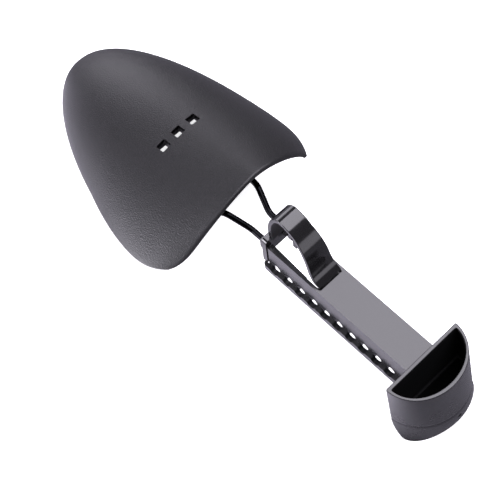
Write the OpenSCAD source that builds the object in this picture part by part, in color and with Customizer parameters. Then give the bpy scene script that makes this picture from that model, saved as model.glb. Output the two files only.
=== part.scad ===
/* [Bar] */
// Width of the bar over its two side walls
bar_w = 15.8; // [15:0.1:17]
// Height of the bar's top plate above the resting plane
bar_top_z = 39.4; // [38.8:0.1:40]
// Height of the bar's lower edge above the resting plane
bar_bottom_z = 21.35; // [20.8:0.05:21.6]
// Thickness of the top plate
plate_t = 1.8; // [1.5:0.1:2]
// Thickness of each side wall
wall_t = 1.5; // [1.3:0.1:1.7]
// Distance from the cup to the front edge of the top plate
plate_len = 50.5; // [48:0.5:51]
// Distance from the cup to the front end of the side walls
wall_len = 81; // [80.5:0.1:81.2]
// Width of each outward flange
flange_w = 1.95; // [1.5:0.05:2.5]
// Height of each outward flange
flange_h = 3.6; // [3:0.1:3.8]
// Length of flange in front of the wall ends
flange_lead = 2.3; // [1:0.1:2.6]
// Width of the inward lips that carry the tongue
lip_w = 1; // [0.7:0.1:1.2]
// Height of the inward lips
lip_h = 1.4; // [1:0.1:1.5]
// Length of the two tapered top lips at the front end
top_lip_len = 22; // [10:0.5:24]

/* [Windows] */
// Number of stop windows in each side wall
window_count = 10; // [8:1:10]
// Distance between windows
window_pitch = 7.5; // [7.3:0.1:7.5]
// Diameter of each window
window_d = 4.7; // [4.3:0.1:4.8]
// Height of the window centres above the resting plane
window_z = 26; // [25.9:0.1:26.4]
// Distance from the cup to the rearmost window
window_first = 9; // [8.8:0.1:9.2]
// Width of the pocket below each window
pocket_w = 4.7; // [4:0.05:4.8]
// Depth of the pocket in the wall's inner face
pocket_depth = 1; // [0.5:0.05:1.05]

/* [Heel cup] */
// Height of the cup's rim above the resting plane
cup_h = 42.5; // [42:0.1:44]
// Half of the cup's width at the rim
cup_half_w = 20.75; // [19:0.25:22]
// Depth of the cup at the rim
cup_depth = 18.2; // [17:0.2:19]
// Wall thickness of the cup
cup_t = 1.7; // [1.5:0.1:1.9]
// Height of the seam between the cup and its lower cap
seam_z = 14.5; // [14:0.5:16.5]
// Backward lean of the cup's rear wall for each millimetre down
cup_rear_lean = 0.1; // [0.08:0.01:0.14]
// Backward lean of the cup's front wall for each millimetre down
cup_front_lean = 0.085; // [0.06:0.005:0.1]
// Lean of the whole cup to the right for each millimetre down
cup_side_lean = 0.034; // [0.02:0.002:0.04]
// Further lean of the cup's rear to the right for each millimetre down
cup_skew = 0.038; // [0.02:0.002:0.05]
// Height over which the cap rounds in to its foot
cap_round_h = 13.5; // [11:0.5:13.5]
// Inward step of the foot at the front
foot_inset_front = 7; // [5:0.5:8]
// Inward step of the foot at the sides
foot_inset_side = 0.5; // [0.5:0.5:4]
// Inward step of the foot at the rear
foot_inset_rear = 2.8; // [2:0.2:6]
// Diameter of the vent hole in the cap
vent_d = 2; // [1.5:0.1:2.5]

/* [Slider] */
// Length of the tongue inside the bar
tongue_len = 47.5; // [44:0.5:48]
// Clearance between the tongue and the bar on each side
tongue_gap = 0.3; // [0.3:0.05:0.35]
// Thickness of the tongue's top and webs
tongue_t = 1.6; // [1.4:0.1:1.8]
// Thickness of the finger loop strip
loop_t = 2; // [1.8:0.1:2.4]
// Width of the finger loop at its crown
loop_w = 10; // [9:0.2:10.4]
// Width of the finger loop at its foot
foot_w = 12.9; // [12:0.1:13.2]
// Height of the foot's upper face above the bar's top
foot_rise = 1.2; // [1:0.1:1.6]
// Height of the finger loop's crown above the resting plane
loop_top_z = 66.2; // [62:0.2:68]
// Width of the front block
block_w = 16.8; // [16:0.1:17.5]
// Thickness of the front block's two legs
leg_t = 2.6; // [2.2:0.1:2.8]
// Height of the front block's upper edge above the resting plane
block_top_z = 44; // [43:0.2:45]
// Height of the lower end of the front block's legs
leg_bottom_z = 26; // [25.8:0.1:27]
// Depth of the block around the wire
block_depth = 4.8; // [4.6:0.1:5]

/* [Catch] */
// Length of the catch finger from its root to its nub
finger_len = 14; // [12:0.5:14.5]
// Thickness of the catch finger
finger_t = 1.5; // [1.3:0.1:1.6]
// Height of the catch finger
finger_h = 4.2; // [3.8:0.1:4.4]
// Diameter of the nub that enters a window
nub_d = 3.9; // [3.5:0.1:4]
// How far the nub stands out from the finger
nub_reach = 1; // [0.8:0.1:1.1]
// Radius of the finger's round root
root_r = 1.5; // [1.3:0.1:1.6]
// Clearance of the root in its seat
root_gap = 0.08; // [0.05:0.01:0.1]

/* [Wire] */
// Diameter of the wire
wire_d = 2.8; // [2.6:0.1:3]
// Distance between the two arms where they leave the block
arm_gap = 10.8; // [10.6:0.1:11]
// Radius of the bend at the ends of the crossbar
crossbar_r = 2.2; // [2:0.1:2.4]
// Height of the wire where it leaves the block
wire_z = 37; // [36.8:0.1:37.2]
// Length of the bent tip in each pivot eye
tip_len = 6; // [5:0.1:6.5]
// Clearance of the wire in the pivot eyes
eye_gap = 0.08; // [0.05:0.01:0.1]

/* [Toe shell] */
// Distance from the cup to the shell's rear edge
shell_start = 104; // [103.5:0.5:105]
// Length of the shell
shell_len = 135; // [130:1:137]
// Largest half width of the shell
shell_half_w = 45.8; // [44:0.2:48]
// Half width of the shell at its rear edge
shell_rear_half_w = 40.2; // [38:0.2:41]
// Height of the shell's lower rim at the rear
rim_rear_z = 31; // [30:0.2:31.5]
// Height of the crown above the lower rim
shell_crown = 22.3; // [22:0.1:23.5]
// Sideways shift of the toe tip to the right
toe_shift = 14.4; // [12:0.2:15]
// Sideways shift of the rear part to the left
rear_shift = 2; // [1:0.1:2.4]
// Extra width of the shell's right rear corner
corner_reach = 0.6; // [0.5:0.1:2.5]
// Extra height of the shell's right rear corner
corner_lift = 2; // [0.5:0.1:3]
// How far the shell's left rear corner is rounded back
corner_back = 3.8; // [1:0.2:4]
// Extra width of the shell's left side
side_swell = 1.3; // [0:0.1:2]
// Wall thickness of the shell
shell_t = 2; // [1.8:0.1:2.2]
// Width of the square vent slots
slot_w = 5; // [4.4:0.1:5.4]
// Distance between the vent slots
slot_pitch = 8.9; // [8.4:0.1:9.2]
// Distance from the cup to the row of vent slots
slot_x = 150.5; // [148:0.5:153]
// Number of vent slots
slot_count = 3; // [1:1:3]
// Depth of the collar under each vent slot
collar_h = 3.8; // [3:0.2:4]
// Outer radius of the pivot eyes
eye_r = 3.3; // [3.1:0.1:3.5]

/* [Hidden] */
$fn = 48;
// Distance from the foot's middle to the cup's upper front edge
heel_shift = 13.5;
cut = 0.5;
half_w = bar_w / 2;
inner_half = half_w - wall_t;
plate_under = bar_top_z - plate_t;
edge_r = 0.6;
edge_steps = 5;
// How far the bar runs back through the cup's front wall before it is trimmed
bar_root = 4;
lip_tip = 0.4;
last_window = window_first + (window_count - 1) * window_pitch;
// Heel cup and cap
cup_arc = 20;
cup_rows = 6;
cap_rows = 7;
cap_end = 0.97;
spigot_t = 1.1;
spigot_h = 3;
fit_gap = 0.15;
seam_gap = 0.1;
fillet_r = 2;
lip_round = 0.7;
vent_z = 9.4;
vent_turn = 190;
// Slider
tongue_half = inner_half - tongue_gap;
tongue_top = plate_under - tongue_gap;
tongue_bottom = bar_bottom_z + lip_h + tongue_gap;
tongue_start = 2.5;
neck_half = inner_half - wall_t - tongue_gap;
foot_gap = 0.6;
tongue_end = tongue_start + tongue_len;
foot_x = plate_len + foot_gap;
foot_z = bar_top_z + foot_rise;
foot_wall_t = 2;
rib_t = 1.6;
rib_pitch = 6;
rib_count = 3;
block_gap = 0.4;
block_x = wall_len + block_gap;
block_r = 2;
cutout_half = 6.2;
cutout_top = 33.5;
groove_gap = 0.02;
crossbar_x = block_x + block_depth / 2 + 0.1;
web_top_room = 0.8;
// Finger loop, in side view and in plan
crown_x = 74.4;
leg_handle = [block_x + 3.2, 54];
crown_front = 6;
crown_rear = 6.8;
back_handle = [59.6, 58.4];
flare_top = [57, 48.6];
flare_handle = [55.6, 43.4];
foot_slope = [1.7, 1.1];
flare_start = 54;
loop_flare = 66;
loop_steps = 14;
// Catch, whose nub stands in the fourth window while the tree is closed
windows_behind = 3;
nub_x = window_first + windows_behind * window_pitch;
root_x = nub_x + finger_len;
root_y = -(tongue_half - root_r);
finger_y = -tongue_half;
root_block = 3.2;
finger_lead = 3;
slot_start = nub_x - finger_lead - 1.5;
slot_top = window_z + finger_h / 2 + web_top_room;
// Wire
wire_r = wire_d / 2;
bend_swell = 0.02;
arm_y = arm_gap / 2;
arm_start = crossbar_x + crossbar_r;
bend_1 = [93.7, arm_y, wire_z];
bend_2 = [104.4, 9.4, 42.4];
pivot_x = 122.5;
pivot_z = 33.2;
tip_y = 14;
bend_3 = [pivot_x, tip_y, pivot_z];
eye_start = tip_y + wire_r + 0.4;
eye_len = 4.6;
keeper_half = 2.9;
// Toe shell
shell_rows = 26;
shell_cols = 32;
corner_span = 0.17;
corner_power = 2.6;
corner_drop = shell_half_w - shell_rear_half_w;
toe_power = 1.6;
shift_power = 1.25;
crown_power = 3.2;
crown_round = 0.6;
ridge_side = -0.25;
rim_drop = rim_rear_z / shell_len;
lift_span = 0.45;
band_w = 0.018;
band_h = 0.5;
tip_stop = 0.9985;
round_from = 0.68;
round_power = 3;
round_span = 0.3;
swell_span = 0.48;
slot_cut = 20;
slot_mid_y = -4.5;
collar_t = 1.2;
collar_half = slot_w / 2 + collar_t;
collar_sink = 0.7;

// Position of the shell's middle, half width, rim and crown along its length
function along(k, n) = sin(90 * k / n);
function shell_x(t) = shell_start + shell_len * t;
function corner(t) = t < corner_span ? corner_drop * pow((corner_span - t) / corner_span, corner_power) : 0;
function toe(t) = t > corner_span ? pow((t - corner_span) / (1 - corner_span), toe_power) : 0;
function shell_hw(t) = (shell_half_w - corner(t)) * sqrt(max(0, 1 - toe(t)));
function shell_mid(t) = rear_shift - toe_shift * pow(t, shift_power);
function shell_rim(t) = rim_rear_z - rim_drop * shell_len * t;
function shell_high(t) = shell_crown * pow(max(0, 1 - pow(t, crown_power)), crown_round);
function ridge(t) = ridge_side * (1 - t);
function skew(u, t) = u > ridge(t) ? (u - ridge(t)) / (1 - ridge(t)) : (ridge(t) - u) / (1 + ridge(t));
function bulge_n(u, t) = u > ridge(t) ? 1.5 + 0.6 * t : 1.7 + 0.4 * t;
function bulge_m(u, t) = u > ridge(t) ? 1.1 - 0.6 * sqrt(t) : 0.8 - 0.3 * sqrt(t);
function bulge(u, t) = pow(max(0, 1 - pow(min(1, skew(u, t)), bulge_n(u, t))), bulge_m(u, t));
function shell_z(x, y) = let(t = (x - shell_start) / shell_len, u = (y - shell_mid(t)) / shell_hw(t))
    shell_rim(t) + shell_high(t) * bulge(u, t);

// Extra height of the band along the rear edge
function band(t) = t < band_w ? band_h * (1 - t / band_w) : 0;

// Share of the right rear corner's extra reach and lift at one place
function flare(u, t) = u < 0 && t < lift_span ? u * u * pow(1 - t / lift_span, 2) : 0;

// Share of the left rear corner's rounding at one place
function rounding(u, t) = u > round_from && t < round_span
    ? pow((u - round_from) / (1 - round_from), round_power) * pow(1 - t / round_span, 2) : 0;

// Share of the left side's extra width at one place
function swell(u, t) = u > 0 && t < swell_span ? u * u * sin(180 * t / swell_span) : 0;
function side_move(u, t) = side_swell * swell(u, t) - corner_reach * flare(u, t);

// One point of the outer skin, and one of the inner skin
function outer_at(t, a) = let(u = -cos(a), e = flare(u, t)) [
    shell_x(t) + corner_back * rounding(u, t),
    shell_mid(t) + shell_hw(t) * u + side_move(u, t),
    shell_rim(t) + (shell_high(t) + band(t)) * bulge(u, t) + corner_lift * e
];
function inner_at(t, a) = let(u = -cos(a), e = flare(u, t), s = shell_hw(t), g = shell_t / (s + shell_t)) [
    shell_x(t) - shell_t * t + corner_back * rounding(u, t),
    shell_mid(t) + max(0.4, s - shell_t) * u + side_move(u, t),
    shell_rim(t) + max(0.3, shell_high(t) - shell_t) * bulge(u, t) * (1 - g * 0.1) + corner_lift * e
];

// Grid faces between two rows of points, and the whole skin with its rim
function skin_faces(rows, cols, base, flip) = [
    for (i = [0:rows - 2])
        for (j = [0:cols - 2])
            for (h = [0, 1])
                let(a = base + i * cols + j, b = a + 1, c = a + cols, d = c + 1)
                let(tri = h == 0 ? [a, b, d] : [a, d, c])
                flip ? [tri[0], tri[2], tri[1]] : tri
];
function rim_faces(list_a, list_b, flip) = [
    for (i = [0:len(list_a) - 2])
        for (h = [0, 1])
            let(a = list_a[i], b = list_a[i + 1], c = list_b[i], d = list_b[i + 1])
            let(tri = h == 0 ? [a, b, d] : [a, d, c])
            flip ? [tri[0], tri[2], tri[1]] : tri
];

module shell_skin() {
    rows = shell_rows + 1;
    cols = shell_cols + 1;
    ts = [for (i = [0:shell_rows]) tip_stop * along(i, shell_rows)];
    outer = [for (t = ts) for (j = [0:shell_cols]) outer_at(t, 180 * j / shell_cols)];
    inner = [for (t = ts) for (j = [0:shell_cols]) inner_at(t, 180 * j / shell_cols)];
    m = rows * cols;
    rear_out = [for (j = [0:shell_cols]) j];
    rear_in = [for (j = [0:shell_cols]) m + j];
    tip_out = [for (j = [0:shell_cols]) (rows - 1) * cols + j];
    tip_in = [for (j = [0:shell_cols]) m + (rows - 1) * cols + j];
    right_out = [for (i = [0:shell_rows]) i * cols];
    right_in = [for (i = [0:shell_rows]) m + i * cols];
    left_out = [for (i = [0:shell_rows]) i * cols + cols - 1];
    left_in = [for (i = [0:shell_rows]) m + i * cols + cols - 1];
    faces = concat(
        skin_faces(rows, cols, 0, false),
        skin_faces(rows, cols, m, true),
        rim_faces(rear_out, rear_in, true),
        rim_faces(tip_out, tip_in, false),
        rim_faces(right_out, right_in, false),
        rim_faces(left_out, left_in, true)
    );
    polyhedron(concat(outer, inner), faces, convexity = 6);
}

// Closed outline of the heel cup at one height, inset by a wall
function foot_round(z) = let(q = cap_end * (1 - z / cap_round_h)) z < cap_round_h ? 1 - sqrt(1 - q * q) : 0;
function cup_drop(z) = cup_h - z;
function cup_front(z) = -cup_front_lean * cup_drop(z) - foot_inset_front * foot_round(z);
function cup_back(z) = -cup_depth - cup_rear_lean * cup_drop(z) + foot_inset_rear * foot_round(z);
function cup_side(z) = cup_half_w - foot_inset_side * foot_round(z);
function cup_shift(z, a) = -cup_drop(z) * (cup_side_lean + cup_skew * cos(a));
function cup_ring(z, inset) = let(
        xf = cup_front(z) - inset,
        d = xf - cup_back(z) - inset,
        w = cup_side(z) - inset)
    [for (k = [0:cup_arc])
        let(a = 90 - 180 * k / cup_arc) [xf - d * cos(a), w * sin(a) + cup_shift(z, a), z]];

// Solid between rings of equal point count, stacked from the first to the last
module stack(rings) {
    n = len(rings[0]);
    m = len(rings);
    points = [for (r = rings) each r];
    sides = [
        for (i = [0:m - 2])
            for (j = [0:n - 1])
                for (h = [0, 1])
                    let(a = i * n + j, b = i * n + (j + 1) % n, c = a + n, d = b + n)
                    h == 0 ? [a, d, b] : [a, c, d]
    ];
    first = [for (j = [0:n - 1]) j];
    last = [for (j = [n - 1:-1:0]) (m - 1) * n + j];
    polyhedron(points, concat(sides, [first], [last]), convexity = 6);
}

// Ring-shaped wall from an outer and an inner list of rings, open at both ends
module tube(outer, inner) {
    n = len(outer[0]);
    m = len(outer);
    points = concat([for (r = outer) each r], [for (r = inner) each r]);
    o = m * n;
    sides = [
        for (i = [0:m - 2])
            for (j = [0:n - 1])
                for (h = [0:3])
                    let(a = i * n + j, b = i * n + (j + 1) % n, c = a + n, d = b + n)
                    h == 0 ? [a, d, b] : h == 1 ? [a, c, d] : h == 2 ? [o + a, o + b, o + d] : [o + a, o + d, o + c]
    ];
    caps = [
        for (j = [0:n - 1])
            for (h = [0:3])
                let(k = (j + 1) % n, e = (m - 1) * n)
                h == 0 ? [j, k, o + k] : h == 1 ? [j, o + k, o + j]
                : h == 2 ? [e + j, o + e + k, e + k] : [e + j, o + e + j, o + e + k]
    ];
    polyhedron(points, concat(sides, caps), convexity = 6);
}

module cup_wall() {
    zs = [for (i = [0:cup_rows]) seam_z + (cup_h - lip_round - seam_z) * i / cup_rows];
    outer = concat([for (z = zs) cup_ring(z, 0)], [cup_ring(cup_h, lip_round * 0.6)]);
    inner = concat([for (z = zs) cup_ring(z, cup_t)], [cup_ring(cup_h, cup_t - lip_round * 0.4)]);
    tube(outer, inner);
}

// Points on a quarter circle about a centre
function quarter(c, r, from) = [
    for (k = [0:edge_steps])
        let(a = from + 90 * k / edge_steps) c + r * [cos(a), sin(a)]
];

// Cross-section of the plate and of one side wall, with rounded upper edges
module plate_section() {
    x = half_w - edge_r;
    y = bar_top_z - edge_r;
    polygon(concat(
        [[-half_w, plate_under], [half_w, plate_under]],
        quarter([x, y], edge_r, 0),
        quarter([-x, y], edge_r, 90)
    ));
}

module wall_section(s) {
    mirror([s < 0 ? 1 : 0, 0]) polygon(concat(
        [[inner_half, bar_bottom_z], [half_w, bar_bottom_z]],
        quarter([half_w - edge_r, bar_top_z - edge_r], edge_r, 0),
        [[inner_half, bar_top_z]]
    ));
}

module along_x(from, to) {
    translate([from, 0, 0]) rotate([90, 0, 90]) linear_extrude(to - from) children();
}

// Side profile of the space that the bar may fill, cut back at the cup's front wall
module bar_envelope() {
    far = wall_len + flange_lead + cut;
    rotate([90, 0, 0]) linear_extrude(4 * bar_w, center = true)
        polygon([
            [cup_front(bar_top_z + fillet_r) - cup_t / 2, bar_top_z + fillet_r + cut],
            [cup_front(bar_bottom_z) - cup_t / 2, bar_bottom_z - cut],
            [far, bar_bottom_z - cut],
            [far, bar_top_z + fillet_r + cut]
        ]);
}

// Plan of one outward flange, with its rounded front corner
module flange_plan() {
    corner_x = wall_len + flange_lead - flange_w;
    polygon(concat(
        [[-bar_root, half_w - wall_t / 2], [wall_len, half_w - wall_t / 2], [wall_len, half_w]],
        [for (k = [0:edge_steps]) let(a = 90 * k / edge_steps)
            [corner_x + flange_w * cos(a), half_w + flange_w * sin(a)]],
        [[-bar_root, half_w + flange_w]]
    ));
}

// Plan of one top lip, which tapers away from the bar's front end
module top_lip_plan() {
    polygon([
        [wall_len - top_lip_len, inner_half - lip_tip],
        [wall_len, inner_half - wall_t],
        [wall_len, inner_half + wall_t / 2],
        [wall_len - top_lip_len, inner_half + wall_t / 2]
    ]);
}

module bar_body() {
    intersection() {
        union() {
            along_x(-bar_root, plate_len) plate_section();
            for (s = [-1, 1]) along_x(-bar_root, wall_len) wall_section(s);
            for (s = [0, 1]) mirror([0, s, 0]) {
                translate([0, 0, bar_bottom_z]) linear_extrude(flange_h) flange_plan();
                translate([-bar_root, inner_half - lip_w, bar_bottom_z])
                    cube([last_window + bar_root, lip_w, lip_h]);
                translate([0, 0, plate_under]) linear_extrude(plate_t - edge_r / 2) top_lip_plan();
            }
            plate_fillet();
        }
        bar_envelope();
    }
}

// Rounded corner between the plate and the cup's front wall
module plate_fillet() {
    y = bar_top_z - cut;
    rotate([90, 0, 0]) linear_extrude(bar_w - 2 * edge_r, center = true)
        polygon(concat(
            [[-2, bar_top_z + fillet_r], [-2, y], [fillet_r, y]],
            [for (k = [0:edge_steps]) let(a = 90 * k / edge_steps)
                [fillet_r * (1 - sin(a)), bar_top_z + fillet_r * (1 - cos(a))]]
        ));
}

module heel_bar() {
    translate([heel_shift, 0, 0]) color([0.1, 0.1, 0.11]) difference() {
        union() {
            bar_body();
            cup_wall();
        }
        for (i = [0:window_count - 1])
            translate([window_first + i * window_pitch, 0, 0]) {
                translate([0, 0, window_z]) rotate([90, 0, 0])
                    cylinder(d = window_d, h = 2 * bar_w, center = true);
                for (s = [0, 1]) mirror([0, s, 0])
                    translate([-pocket_w / 2, inner_half - lip_w - cut, bar_bottom_z - cut])
                        cube([pocket_w, lip_w + cut + pocket_depth, window_z - bar_bottom_z + cut]);
            }
    }
}

// Lower cap of the cup, with a spigot that stands inside the cup's wall
module heel_cap() {
    top = seam_z - seam_gap;
    zs = [for (i = [0:cap_rows]) top * (1 - cos(90 * i / cap_rows))];
    floor_z = cup_t;
    root_z = seam_z - spigot_h;
    zi = [for (i = [0:cap_rows]) floor_z + (root_z - floor_z) * (1 - cos(90 * i / cap_rows))];
    translate([heel_shift, 0, 0]) color([0.12, 0.12, 0.13]) difference() {
        union() {
            stack([for (z = zs) cup_ring(z, 0)]);
            stack([for (z = [root_z, seam_z + spigot_h]) cup_ring(z, cup_t + fit_gap)]);
        }
        stack([for (z = zi) cup_ring(z, cup_t)]);
        stack([for (z = [root_z - cut, seam_z + spigot_h + cut]) cup_ring(z, cup_t + fit_gap + spigot_t)]);
        translate([cup_front(vent_z) - cup_t, 0, vent_z]) rotate([0, 90, vent_turn])
            cylinder(d = vent_d, h = 2 * cup_depth);
    }
}

// Point on a curve through four control points
function curve(p, s) = let(r = 1 - s)
    r * r * r * p[0] + 3 * r * r * s * p[1] + 3 * r * s * s * p[2] + s * s * s * p[3];
function turn(p, s) = let(d = curve(p, min(1, s + 0.01)) - curve(p, max(0, s - 0.01)))
    [-d[1], d[0]] / norm(d);

// Side profile of the finger loop, from the block over the crown to the foot
crown = [crown_x, loop_top_z];
leg_curve = [[block_x + 1, block_top_z - 1], leg_handle, crown + [crown_front, 0], crown];
back_curve = [crown, crown - [crown_rear, 0], back_handle, flare_top];
foot_end = [foot_x, foot_z];
flare_curve = [flare_top, flare_handle, foot_end + foot_slope, foot_end];
loop_line = concat(
    [for (k = [0:loop_steps - 1]) [curve(leg_curve, k / loop_steps), turn(leg_curve, k / loop_steps)]],
    [for (k = [0:loop_steps - 1]) [curve(back_curve, k / loop_steps), turn(back_curve, k / loop_steps)]],
    [for (k = [0:loop_steps]) [curve(flare_curve, k / loop_steps), turn(flare_curve, k / loop_steps)]]
);

module loop_profile() {
    top = [for (q = loop_line) q[0]];
    under = [for (k = [len(loop_line) - 1:-1:0]) loop_line[k][0] + loop_t * loop_line[k][1]];
    polygon(concat(top, under));
}

// Outline of the loop seen from above, narrow at the crown and wide at the foot
module loop_plan() {
    front = block_x + block_depth;
    polygon([
        [foot_x - 1, -foot_w / 2],
        [flare_start, -foot_w / 2],
        [loop_flare, -loop_w / 2],
        [front, -loop_w / 2],
        [front, loop_w / 2],
        [loop_flare, loop_w / 2],
        [flare_start, foot_w / 2],
        [foot_x - 1, foot_w / 2]
    ]);
}

// The loop, narrowed where its foot runs between the bar's two top lips
module finger_loop() {
    side_z = bar_top_z + tongue_gap;
    difference() {
        intersection() {
            rotate([90, 0, 0]) linear_extrude(foot_w, center = true) loop_profile();
            translate([0, 0, tongue_bottom]) linear_extrude(loop_top_z) loop_plan();
        }
        for (s = [0, 1]) mirror([0, s, 0])
            translate([foot_x - 1, neck_half, side_z - foot_w])
                cube([loop_flare - foot_x, foot_w, foot_w]);
    }
}

module tongue() {
    web_h = tongue_top - tongue_bottom;
    translate([tongue_start, -tongue_half, tongue_top - tongue_t])
        cube([foot_x - tongue_start + 1, 2 * tongue_half, tongue_t]);
    translate([tongue_start, tongue_half - tongue_t, tongue_bottom])
        cube([tongue_len, tongue_t, web_h]);
    translate([tongue_start, -tongue_half, tongue_bottom])
        cube([slot_start - tongue_start, tongue_t, web_h]);
    translate([tongue_start, -tongue_half, slot_top])
        cube([tongue_len, tongue_t, tongue_top - slot_top]);
    translate([root_x - root_block / 2, -tongue_half, tongue_bottom])
        cube([tongue_end - root_x + root_block / 2, 2 * root_r + 0.8, web_h]);
    for (i = [1:rib_count])
        translate([tongue_start + i * rib_pitch, -tongue_half, tongue_bottom])
            cube([rib_t, 2 * tongue_half, web_h]);
    translate([foot_x, -tongue_half, tongue_bottom])
        cube([foot_wall_t, 2 * tongue_half, web_h]);
    translate([foot_x, -neck_half, tongue_top - cut])
        cube([foot_wall_t, 2 * neck_half, bar_top_z + cut - tongue_top + cut]);
}

// Plan of the wire inside the block, widened by a gap
module wire_plan(gap) {
    w = wire_r + gap;
    translate([crossbar_x - w, -(arm_y - crossbar_r)]) square([2 * w, 2 * (arm_y - crossbar_r)]);
    for (s = [-1, 1]) {
        translate([arm_start, s * arm_y - w]) square([4, 2 * w]);
        intersection() {
            translate([arm_start, s * (arm_y - crossbar_r)]) difference() {
                circle(r = crossbar_r + w);
                circle(r = crossbar_r - w);
            }
            translate([arm_start - crossbar_r - w, s > 0 ? arm_y - crossbar_r : -arm_y - w])
                square([crossbar_r + w, crossbar_r + w]);
        }
    }
}

module front_block() {
    mid = (block_top_z + leg_bottom_z) / 2;
    difference() {
        union() {
            along_x(block_x, block_x + leg_t) difference() {
                union() {
                    translate([-block_w / 2, leg_bottom_z])
                        square([block_w, block_top_z - block_r - leg_bottom_z]);
                    translate([-block_w / 2 + block_r, mid])
                        square([block_w - 2 * block_r, block_top_z - mid]);
                    for (s = [-1, 1])
                        translate([s * (block_w / 2 - block_r), block_top_z - block_r]) circle(r = block_r);
                }
                translate([-cutout_half, leg_bottom_z - cut])
                    square([2 * cutout_half, cutout_top - leg_bottom_z + cut]);
            }
            translate([block_x, -block_w / 2 + 1, cutout_top])
                cube([block_depth, block_w - 2, wire_z + wire_r + 1.2 - cutout_top]);
        }
        translate([0, 0, cutout_top - cut])
            linear_extrude(wire_z + wire_r + groove_gap - cutout_top + cut) wire_plan(groove_gap);
    }
}

module slider() {
    translate([heel_shift, 0, 0]) color([0.09, 0.09, 0.1]) difference() {
        union() {
            tongue();
            finger_loop();
            front_block();
        }
        translate([root_x, root_y, tongue_bottom - cut])
            cylinder(r = root_r + root_gap, h = slot_top - tongue_bottom + cut);
        translate([root_x - 2 * root_r - cut, -tongue_half - cut, tongue_bottom - cut])
            cube([2 * root_r + cut, 2 * root_r + 2, slot_top - tongue_bottom + cut]);
    }
}

// Sprung finger with its nub, in the right-hand side of the tongue
module catch_finger() {
    translate([heel_shift, 0, 0]) color([0.15, 0.15, 0.16]) {
        translate([nub_x - finger_lead, finger_y, window_z - finger_h / 2])
            cube([finger_len + finger_lead, finger_t, finger_h]);
        translate([root_x, root_y, window_z - finger_h / 2]) cylinder(r = root_r, h = finger_h);
        translate([nub_x, finger_y + finger_t / 2, window_z])
            rotate([90, 0, 0]) cylinder(d = nub_d, h = nub_reach + finger_t / 2 + tongue_gap);
    }
}

// Straight rod between two points
module rod(a, b, r) {
    d = b - a;
    translate(a) rotate([0, acos(d[2] / norm(d)), atan2(d[1], d[0])]) cylinder(r = r, h = norm(d));
}

// Crossbar and its two bends
module wire_core() {
    r = wire_r;
    translate([crossbar_x, 0, wire_z]) rotate([90, 0, 0])
        cylinder(r = r, h = 2 * (arm_y - crossbar_r), center = true);
    for (s = [-1, 1]) {
        translate([arm_start, s * (arm_y - crossbar_r), wire_z]) rotate([0, 0, s > 0 ? 90 : 180])
            rotate_extrude(angle = 90) translate([crossbar_r, 0]) circle(r = r);
    }
}

module wire_yoke() {
    translate([heel_shift, 0, 0]) color([0.35, 0.35, 0.37]) {
        wire_core();
        for (s = [-1, 1]) {
            start = [arm_start, s * arm_y, wire_z];
            p1 = [bend_1[0], s * bend_1[1], bend_1[2]];
            p2 = [bend_2[0], s * bend_2[1], bend_2[2]];
            p3 = [bend_3[0], s * bend_3[1], bend_3[2]];
            tip = [bend_3[0], s * (bend_3[1] + tip_len), bend_3[2]];
            rod(start, p1, wire_r);
            rod(p1, p2, wire_r);
            rod(p2, p3, wire_r);
            rod(p3, tip, wire_r);
            for (p = [p1, p2, p3]) translate(p) sphere(r = wire_r + bend_swell);
        }
    }
}

// Keeper that closes the wire's groove from below
module wire_keeper() {
    translate([heel_shift, 0, 0]) color([0.14, 0.14, 0.15])
        translate([crossbar_x - wire_r + 0.05, -keeper_half, cutout_top])
            cube([wire_d - 0.1, 2 * keeper_half, wire_z - wire_r - fit_gap - cutout_top]);
}

// Pivot eye for one wire tip, with the web that hangs it from the shell
module eye_web(s) {
    y0 = eye_start;
    y1 = eye_start + eye_len;
    ys = [s * y0, s * y1];
    rotate([90, 0, 90]) translate([0, 0, pivot_x - eye_r]) linear_extrude(2 * eye_r)
        polygon([
            [ys[0], pivot_z],
            [ys[1], pivot_z],
            [ys[1], shell_z(pivot_x, ys[1]) - shell_t * 0.75],
            [ys[0], shell_z(pivot_x, ys[0]) - shell_t * 0.75]
        ]);
    translate([pivot_x, s * (y0 + eye_len / 2), pivot_z]) rotate([90, 0, 0])
        cylinder(r = eye_r, h = eye_len, center = true);
}

// Collar under one vent slot, with its top sunk into the shell's wall
module vent_collar(y) {
    x0 = slot_x - collar_half;
    x1 = slot_x + collar_half;
    y0 = y - collar_half;
    y1 = y + collar_half;
    low = shell_z(slot_x, y) - shell_t - collar_h;
    points = [
        [x0, y0, low],
        [x1, y0, low],
        [x1, y1, low],
        [x0, y1, low],
        [x0, y0, shell_z(x0, y0) - collar_sink],
        [x1, y0, shell_z(x1, y0) - collar_sink],
        [x1, y1, shell_z(x1, y1) - collar_sink],
        [x0, y1, shell_z(x0, y1) - collar_sink]
    ];
    sides = [[0, 4, 5, 1], [1, 5, 6, 2], [2, 6, 7, 3], [3, 7, 4, 0]];
    polyhedron(points, concat([[0, 1, 2, 3], [4, 7, 6], [4, 6, 5]], sides));
}

module toe_shell() {
    slots = [for (k = [0:slot_count - 1]) slot_mid_y + (k - (slot_count - 1) / 2) * slot_pitch];
    translate([heel_shift, 0, 0]) color([0.2, 0.2, 0.21]) difference() {
        union() {
            shell_skin();
            for (s = [-1, 1]) eye_web(s);
            for (y = slots) vent_collar(y);
        }
        translate([pivot_x, 0, pivot_z]) rotate([90, 0, 0])
            cylinder(r = wire_r + eye_gap, h = 2 * (eye_start + eye_len + cut), center = true);
        for (y = slots)
            translate([slot_x, y, shell_z(slot_x, y)]) cube([slot_w, slot_w, slot_cut], center = true);
    }
}

heel_bar();
heel_cap();
slider();
catch_finger();
wire_yoke();
wire_keeper();
toe_shell();
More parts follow.
